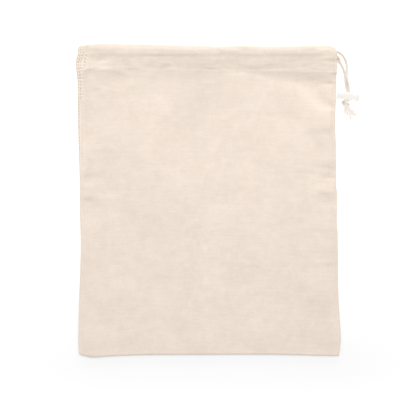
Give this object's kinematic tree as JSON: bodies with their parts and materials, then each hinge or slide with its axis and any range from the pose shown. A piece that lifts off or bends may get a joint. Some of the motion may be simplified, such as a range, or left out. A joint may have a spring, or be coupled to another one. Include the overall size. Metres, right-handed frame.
{
  "type": "cotton drawstring bag",
  "caption": "Flat natural-cotton drawstring bag with a hemmed mouth, one drawcord, a sprung cord stopper and a knotted end, lying on its back.",
  "frame": {"origin": "on the surface the bag lies on, under the middle of the cloth's outline", "axes": "+X to the side where the cord leaves, +Y up the bag towards its mouth, +Z out of the front face"},
  "size_m": [0.2724, 0.301, 0.0085],
  "materials": {
    "calico": "unbleached plain-weave cotton, fine cross slubs and a few seed specks, matt",
    "cord": "twisted natural cotton cord, slightly fuzzy, matt",
    "stopper_barrel": "moulded white plastic, satin",
    "stopper_button": "moulded white plastic, satin"
  },
  "bodies": {
    "bag": {"bag_cloth": "calico", "drawcord": "cord", "cord_knot": "cord", "stopper_barrel": "stopper_barrel"},
    "button": {"stopper_button": "stopper_button"}
  },
  "joints": [
    {"name": "button_press", "type": "slide", "parent": "bag", "child": "button", "axis": [-0.9903, 0.1392, 0], "range_m": [0, 0.0022], "stiffness_N_per_m": 500, "springref_m": -0.004}
  ]
}
